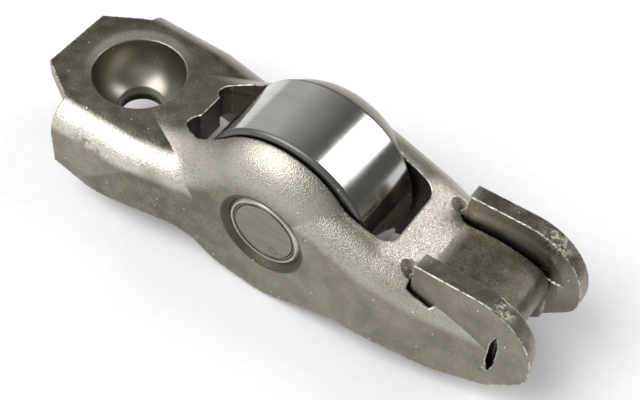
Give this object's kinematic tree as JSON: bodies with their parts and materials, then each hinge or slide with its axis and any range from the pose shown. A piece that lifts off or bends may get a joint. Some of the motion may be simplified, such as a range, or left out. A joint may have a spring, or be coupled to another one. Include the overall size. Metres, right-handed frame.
{
  "type": "rocker arm",
  "caption": "Stamped steel rocker arm of the roller finger kind: ball socket at one end, guided valve pad at the other, and a needle roller on a staked pin for the cam.",
  "frame": {"origin": "centre of the rim of the ball socket, on the upper face of the web", "axes": "+X from the socket along the lever to the valve pad, +Y across the lever along the roller pin, +Z out of the socket, on the side of the valve and the pivot; the cam is on the -Z side"},
  "size_m": [0.0505, 0.0166, 0.0168],
  "materials": {
    "tumbled_steel": "satin",
    "staked_pin_steel": "satin",
    "ground_roller_steel": "polished",
    "needle_steel": "polished"
  },
  "bodies": {
    "lever": {"lever_body": "tumbled_steel", "axle_pin": "staked_pin_steel"},
    "roller": {"roller_ring": "ground_roller_steel"},
    "needle_set": {"needle_01": "needle_steel", "needle_02": "needle_steel", "needle_03": "needle_steel", "needle_04": "needle_steel", "needle_05": "needle_steel", "needle_06": "needle_steel", "needle_07": "needle_steel", "needle_08": "needle_steel", "needle_09": "needle_steel", "needle_10": "needle_steel", "needle_11": "needle_steel", "needle_12": "needle_steel", "needle_13": "needle_steel", "needle_14": "needle_steel", "needle_15": "needle_steel", "needle_16": "needle_steel", "needle_17": "needle_steel"}
  },
  "joints": [
    {"name": "roller_spin", "type": "hinge", "parent": "lever", "child": "roller", "pos_m": [0.01855, 0, -0.0017], "axis": [0, 1, 0], "continuous": true},
    {"name": "needle_orbit", "type": "hinge", "parent": "lever", "child": "needle_set", "pos_m": [0.01855, 0, -0.0017], "axis": [0, 1, 0], "continuous": true}
  ],
  "couplings": [
    {"joint": "needle_orbit", "follows": "roller_spin", "ratio": 0.59018}
  ]
}
